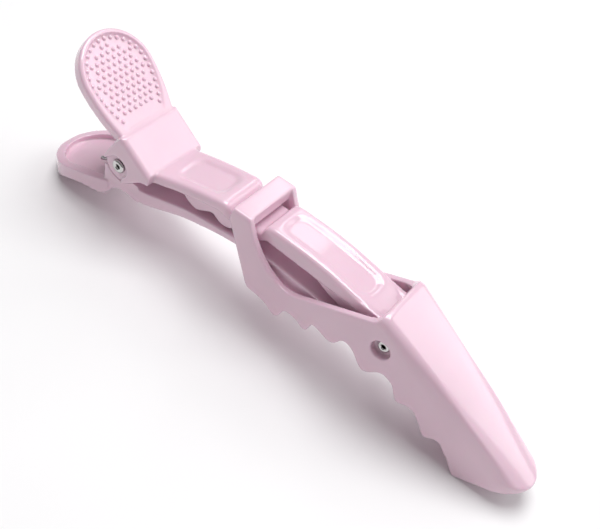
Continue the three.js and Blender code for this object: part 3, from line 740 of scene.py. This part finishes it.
# ----------------------------------------------------------------------------- jaw
def smooth_step(x, low, high):
    """Rises smoothly from 0 at low to 1 at high."""
    t = min(max((x - low) / (high - low), 0), 1)
    return t * t * (3 - 2 * t)


def crown_height(x):
    """Level over the crossbar, then a gently bowed fall from the apex to the tip."""
    if x < WINDOW_MIDDLE_X:
        return CROSSBAR_TOP
    along = min(max((x - JAW_APEX[0]) / (JAW_TIP_X - JAW_APEX[0]), 0), 1.1)
    return JAW_APEX[1] - CROWN_FALL * along + CROWN_BOW * along * (1 - along)


def jaw_half_width(x):
    """Parallel cheeks as far as the rivet, then narrowing to the tip."""
    narrowing = smooth_step(x, 56, 84)
    return JAW_REAR_HALF_WIDTH + (JAW_FRONT_HALF_WIDTH - JAW_REAR_HALF_WIDTH) * narrowing


def crown_half_width(x):
    """Half width between the creases: widest over the crossbar, least at the tip."""
    at_window = CROWN_WINDOW_NARROWING * smooth_step(x, 40, 62)
    return CROWN_HALF_WIDTH - at_window - CROWN_TIP_NARROWING * smooth_step(x, 74, 90)


def jaw_section(x, inset):
    """Domed crown, shoulders that curve down from its creases, and upright cheeks."""
    forward = smooth_step(x, 48, 76)
    width = jaw_half_width(x) - inset
    crown_half = crown_half_width(x) - inset * 0.8
    roof = inset * ROOF_SLOPE_FACTOR if x > JAW_APEX[0] else inset
    if x < WINDOW_MIDDLE_X and inset > 0:
        roof = CROSSBAR_THICKNESS
    crown = crown_height(x) - roof
    dome = JAW_DOME * forward
    crease = crown - dome
    drop = CROSSBAR_SHOULDER_DROP + (JAW_SHOULDER_DROP - CROSSBAR_SHOULDER_DROP) * forward
    across = np.linspace(0, 1, 7)[:-1]
    # The shoulder curves from the crease to the cheek, and bend is the curve's handle.
    bend = np.array([crown_half + 0.9 * (width - crown_half), crease - 0.12 * drop])
    t = np.linspace(0, 1, 15)[:, None]
    shoulder = (1 - t) ** 2 * np.array([crown_half, crease]) + 2 * t * (1 - t) * bend
    shoulder = shoulder + t * t * np.array([width, crease - drop])
    top = np.column_stack([crown_half * across, crown - dome * across ** 2])
    half = np.vstack([top, shoulder, [(width, -24)]])
    return np.vstack([half[:0:-1] * [-1, 1], half])


def jaw_block(inset):
    """A bar along X with the jaw's section, shrunk by inset."""
    rings = []
    for x in np.concatenate([np.arange(23, 55, 2.0), np.arange(55, 91.5, 0.75)]):
        section = jaw_section(x, inset)
        rings.append(np.column_stack([np.full(len(section), x), section]))
    return loft(rings)


def jaw_plan(inset):
    """A long bar with a half-oval front end."""
    side = JAW_FRONT_HALF_WIDTH - inset
    turns = np.linspace(-math.pi / 2, math.pi / 2, 41)
    nose = np.column_stack([
        JAW_TIP_X - JAW_NOSE + (JAW_NOSE - inset) * np.cos(turns), side * np.sin(turns),
    ])
    flank = side + 0.05
    nose_start = JAW_TIP_X - JAW_NOSE
    return np.vstack([
        [(20, -WIDE), (70, -WIDE), (nose_start, -flank)], nose,
        [(nose_start, flank), (70, WIDE), (20, WIDE)],
    ])


def jaw_side():
    """Crossbar, scooped window, roof, slanted tip, and the uneven wavy teeth."""
    return rounded([
        (24.9, 5.4, 0.6), (25.4, 9.0), (28.6, 9.0), (30.3, 4.7, 1.5), (33.2, 0.6, 3),
        (38.6, -2.6, 5), (46.0, 0.8, 5), (55.6, 5.0, 0.8), (57.0, 8.2), (92, 4),
        (91, -12.6), (77.6, -18.0, 0.8),
        (75.2, -14.4, 1.6), (72.6, -11.6, 1.9), (70.4, -13.5, 1.5), (67.9, -9.5, 1.8),
        (66.0, -8.2, 1.6), (63.7, -9.4, 1.5), (61.8, -5.4, 1.8), (59.6, -4.6, 1.8),
        (56.3, -7.8, 2.0), (53.4, -4.1, 1.8), (51.4, -3.4, 1.6), (49.6, -6.5, 1.7),
        (46.6, -5.3, 1.6), (45.2, -4.8, 1.2), (44.2, -8.0, 1.5), (41.8, -6.4, 1.5),
        (39.4, -6.2, 1.2), (38.1, -9.8, 1.6), (35.4, -7.9, 1.4), (33.4, -7.4, 1.0),
        (30.9, -7.2, 1.0),
    ])


def jaw_recess(low, high):
    return pin(JAW_RECESS_RADIUS, low, high, JAW_PIVOT_X)


def jaw():
    """An open shell with the crossbar, bosses inside its cheeks and bores for its rivet."""
    outer = keep_inside(jaw_block(0), plan_slab(jaw_plan(0), -30, 20))
    inner = keep_inside(jaw_block(JAW_WALL), plan_slab(jaw_plan(JAW_WALL), -30, 20))
    shell = keep_inside(cut(outer, inner), side_slab(jaw_side(), -WIDE, WIDE))
    # Ahead of its front face the crossbar is cut away between its two straps.
    crossbar_front = np.array([
        (CROSSBAR_FRONT_X, 3), (34, 3), (34, 12), (CROSSBAR_FRONT_X, 12),
    ])
    between = JAW_REAR_HALF_WIDTH - JAW_WALL
    cut(shell, side_slab(crossbar_front, -between, between))
    cheek = jaw_half_width(JAW_PIVOT_X)
    join(shell, *both_sides(jaw_boss, JAW_BOSS_INNER, cheek - JAW_WALL / 2))
    cut(
        shell,
        pin(JAW_RIVET["shank"] + CLEARANCE, -WIDE, WIDE, JAW_PIVOT_X),
        *both_sides(jaw_recess, cheek - JAW_RECESS_DEPTH, WIDE),
    )
    return mould(shell)


# ---------------------------------------------------------------- rivets and spring
def rivet(size, half_length, x):
    """A tube along Y whose ends are rolled outward into round flanges."""
    middle = (size["bore"] + size["flange"]) / 2
    half_roll = (size["flange"] - size["bore"]) / 2
    inner = half_length - size["height"]
    roll = [
        (middle - half_roll * math.cos(t), inner + size["height"] * math.sin(t))
        for t in np.linspace(0, math.pi, 13)
    ]
    end = [(size["bore"], inner - RIVET_ROLL_DEPTH), *roll, (size["shank"], inner)]
    profile = end + [(radius, -along) for radius, along in reversed(end)]
    rings = []
    for angle in np.linspace(0, 2 * math.pi, RIVET_SIDES, endpoint=False):
        rings.append([
            (x + radius * math.cos(angle), along, radius * math.sin(angle))
            for radius, along in profile
        ])
    size_of_ring = len(profile)
    faces = []
    for i in range(RIVET_SIDES):
        for j in range(size_of_ring):
            next_i = (i + 1) % RIVET_SIDES
            next_j = (j + 1) % size_of_ring
            faces.append((
                i * size_of_ring + j, i * size_of_ring + next_j,
                next_i * size_of_ring + next_j, next_i * size_of_ring + j,
            ))
    return solid(np.vstack(rings), faces)


def spring_line():
    """The wire's middle line: a leg in the thumb pad's cup, the coil, a lower leg."""
    first = math.radians(UPPER_LEG_ANGLE)
    sweep = COIL_TURNS * 2 * math.pi + first - math.radians(LOWER_LEG_ANGLE)
    last = first - sweep
    turns = np.linspace(0, 1, COIL_TURNS * 40)
    angles = first - turns * sweep
    coil = np.column_stack([
        COIL_RADIUS * np.cos(angles),
        COIL_MIDDLE_Y + (0.5 - turns) * COIL_TURNS * COIL_PITCH,
        COIL_RADIUS * np.sin(angles),
    ])
    back = np.linspace(UPPER_LEG_LENGTH, 0, 20, endpoint=False)[:, None]
    out = np.linspace(0, LOWER_LEG_LENGTH, 21)[1:, None]
    leg_up = coil[0] + back * np.array([-math.sin(first), 0, math.cos(first)])
    leg_down = coil[-1] + out * np.array([math.sin(last), 0, -math.cos(last)])
    return np.vstack([leg_up, coil, leg_down])


def spring():
    """Round wire along the spring's line."""
    line = spring_line()
    curve = bpy.data.curves.new("wire", "CURVE")
    curve.dimensions = "3D"
    curve.bevel_depth = WIRE_RADIUS
    curve.bevel_resolution = 4
    curve.use_fill_caps = True
    spline = curve.splines.new("POLY")
    spline.points.add(len(line) - 1)
    for point, place_at in zip(spline.points, line):
        point.co = (*place_at, 1)
    wire = bpy.data.objects.new("wire", curve)
    bpy.context.scene.collection.objects.link(wire)
    bpy.context.view_layer.update()
    graph = bpy.context.evaluated_depsgraph_get()
    mesh = bpy.data.meshes.new_from_object(wire.evaluated_get(graph))
    bpy.data.objects.remove(wire)
    work = bmesh.new()
    work.from_mesh(mesh)
    bmesh.ops.remove_doubles(work, verts=work.verts, dist=1e-4)
    bmesh.ops.recalc_face_normals(work, faces=work.faces)
    work.to_mesh(mesh)
    work.free()
    made = bpy.data.objects.new("spring", mesh)
    bpy.context.scene.collection.objects.link(made)
    return made


# ----------------------------------------------------------------------- materials
def noise(nodes, links, coordinates, scale, detail):
    """A cloudy pattern of the given scale, in features per metre."""
    texture = nodes.new("ShaderNodeTexNoise")
    texture.inputs["Scale"].default_value = scale
    texture.inputs["Detail"].default_value = detail
    links.new(coordinates, texture.inputs["Vector"])
    return texture.outputs["Fac"]


def start_material(name):
    """A new material, with its nodes, its shader and the coordinates of the object."""
    material = bpy.data.materials.new(name)
    material.use_nodes = True
    nodes = material.node_tree.nodes
    links = material.node_tree.links
    coordinates = nodes.new("ShaderNodeTexCoord").outputs["Object"]
    return material, nodes, links, nodes["Principled BSDF"], coordinates


def colour_between(nodes, links, factor, first, second, shader):
    """Base colour that drifts between two near colours."""
    ramp = nodes.new("ShaderNodeValToRGB")
    ramp.color_ramp.elements[0].position = 0.35
    ramp.color_ramp.elements[0].color = (*first, 1)
    ramp.color_ramp.elements[1].position = 0.65
    ramp.color_ramp.elements[1].color = (*second, 1)
    links.new(factor, ramp.inputs["Fac"])
    links.new(ramp.outputs["Color"], shader.inputs["Base Color"])


def roughness_between(nodes, links, factor, low, high, shader):
    """Roughness that drifts between two values."""
    spread = nodes.new("ShaderNodeMapRange")
    spread.inputs["From Min"].default_value = 0.3
    spread.inputs["From Max"].default_value = 0.7
    spread.inputs["To Min"].default_value = low
    spread.inputs["To Max"].default_value = high
    links.new(factor, spread.inputs["Value"])
    links.new(spread.outputs["Result"], shader.inputs["Roughness"])


def bumps(nodes, links, heights, shader):
    """A chain of bumps: (height output, depth in metres) pairs."""
    previous = None
    for height, depth in heights:
        bump = nodes.new("ShaderNodeBump")
        bump.inputs["Strength"].default_value = 1.0
        bump.inputs["Distance"].default_value = depth
        links.new(height, bump.inputs["Height"])
        if previous is not None:
            links.new(previous, bump.inputs["Normal"])
        previous = bump.outputs["Normal"]
    links.new(previous, shader.inputs["Normal"])


def pink_plastic(name):
    """Glossy moulded plastic with faint flow marks and a slight waviness."""
    material, nodes, links, shader, place_at = start_material(name)
    flow = noise(nodes, links, place_at, scale=70, detail=3)
    sheen = noise(nodes, links, place_at, scale=160, detail=4)
    waviness = noise(nodes, links, place_at, scale=260, detail=2)
    grain = noise(nodes, links, place_at, scale=5200, detail=2)
    colour_between(nodes, links, flow, (0.81, 0.575, 0.685), (0.84, 0.605, 0.715), shader)
    roughness_between(nodes, links, sheen, 0.14, 0.24, shader)
    bumps(nodes, links, [(waviness, 0.000025), (grain, 0.0000016)], shader)
    shader.inputs["IOR"].default_value = 1.52
    shader.inputs["Coat Weight"].default_value = 0.7
    shader.inputs["Coat Roughness"].default_value = 0.10
    shader.inputs["Subsurface Weight"].default_value = 0.25
    shader.inputs["Subsurface Radius"].default_value = (1.0, 0.45, 0.7)
    shader.inputs["Subsurface Scale"].default_value = 0.0012
    return material


def steel(name, dark, light, smooth, rough, scale):
    """Bright metal, its roughness and colour a little uneven."""
    material, nodes, links, shader, place_at = start_material(name)
    clouds = noise(nodes, links, place_at, scale, detail=4)
    wear = noise(nodes, links, place_at, scale * 2, detail=4)
    scratches = noise(nodes, links, place_at, scale * 4, detail=3)
    colour_between(nodes, links, clouds, dark, light, shader)
    roughness_between(nodes, links, wear, smooth, rough, shader)
    bumps(nodes, links, [(scratches, 0.000004)], shader)
    shader.inputs["Metallic"].default_value = 1.0
    return material


def pale_floor(name):
    """Matt, nearly white board."""
    material, nodes, links, shader, place_at = start_material(name)
    tone = noise(nodes, links, place_at, scale=5, detail=2)
    sheen = noise(nodes, links, place_at, scale=30, detail=2)
    colour_between(nodes, links, tone, (0.90, 0.90, 0.905), (0.92, 0.92, 0.925), shader)
    roughness_between(nodes, links, sheen, 0.55, 0.65, shader)
    return material


# -------------------------------------------------------------- camera and lighting
def add_camera():
    """The photograph's viewing angle: from the right and above, a little rolled."""
    data = bpy.data.cameras.new("camera")
    data.sensor_width = 36
    data.lens = CAMERA_LENS
    data.clip_start = 0.005
    data.clip_end = 20
    camera = bpy.data.objects.new("camera", data)
    bpy.context.scene.collection.objects.link(camera)
    view = Vector(CAMERA_AIM) - Vector(CAMERA_STAND)
    roll = Quaternion((0, 0, 1), math.radians(CAMERA_ROLL))
    camera.location = CAMERA_STAND
    camera.rotation_mode = "QUATERNION"
    camera.rotation_quaternion = view.to_track_quat("-Z", "Y") @ roll
    bpy.context.scene.camera = camera


def add_light(name, stand, side, power):
    """A soft square white lamp that faces the clip."""
    data = bpy.data.lights.new(name, "AREA")
    data.shape = "SQUARE"
    data.size = side
    data.energy = power
    lamp = bpy.data.objects.new(name, data)
    bpy.context.scene.collection.objects.link(lamp)
    lamp.location = stand
    lamp.rotation_mode = "QUATERNION"
    lamp.rotation_quaternion = (-Vector(stand)).to_track_quat("-Z", "Y")


def add_surroundings():
    """Faint even light, three soft lamps and a plain pale floor."""
    world = bpy.data.worlds.new("studio")
    world.use_nodes = True
    background = world.node_tree.nodes["Background"]
    background.inputs["Color"].default_value = (1.0, 0.965, 0.98, 1)
    background.inputs["Strength"].default_value = 0.27
    bpy.context.scene.world = world
    bpy.context.scene.view_settings.view_transform = "Standard"
    add_light("key", (0.30, 0.31, 0.27), side=0.40, power=1.0)
    add_light("overhead", (-0.06, 0.08, 0.46), side=0.30, power=1.7)
    add_light("glint", (-0.16, 0.34, 0.38), side=0.12, power=0.12)
    floor = plan_slab(circle(FLOOR_RADIUS, steps=96), -FLOOR_THICKNESS, 0.0)
    floor.name = "floor"
    floor.data.materials.append(pale_floor("pale_floor"))


# ------------------------------------------------------------------------ assembly
pink = pink_plastic("pink_plastic")
bright = steel(
    "rivet_steel", dark=(0.56, 0.56, 0.55), light=(0.70, 0.70, 0.69),
    smooth=0.10, rough=0.22, scale=900,
)
drawn_wire = steel(
    "spring_steel", dark=(0.36, 0.36, 0.37), light=(0.50, 0.50, 0.51),
    smooth=0.18, rough=0.34, scale=1400,
)

add_camera()
add_surroundings()

place(lower_lever(), "lower_lever_moulding", "lower", "lower_lever", pink)
place(upper_lever(), "upper_lever_moulding", "upper", "upper_lever", pink)
place(jaw(), "jaw_moulding", "jaw", "jaw", pink)

main_half = EAR_OUTER - EAR_RECESS_DEPTH + CLEARANCE + MAIN_RIVET["height"]
jaw_half = jaw_half_width(JAW_PIVOT_X) - JAW_RECESS_DEPTH + CLEARANCE + JAW_RIVET["height"]
place(
    rivet(MAIN_RIVET, main_half, 0),
    "main_rivet_tube", "upper", "main_rivet", bright,
)
place(
    rivet(JAW_RIVET, jaw_half, JAW_PIVOT_X),
    "jaw_rivet_tube", "jaw", "jaw_rivet", bright,
)

coil = place(
    spring(), "torsion_spring_wire", None, "torsion_spring", drawn_wire,
)
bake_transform(coil)
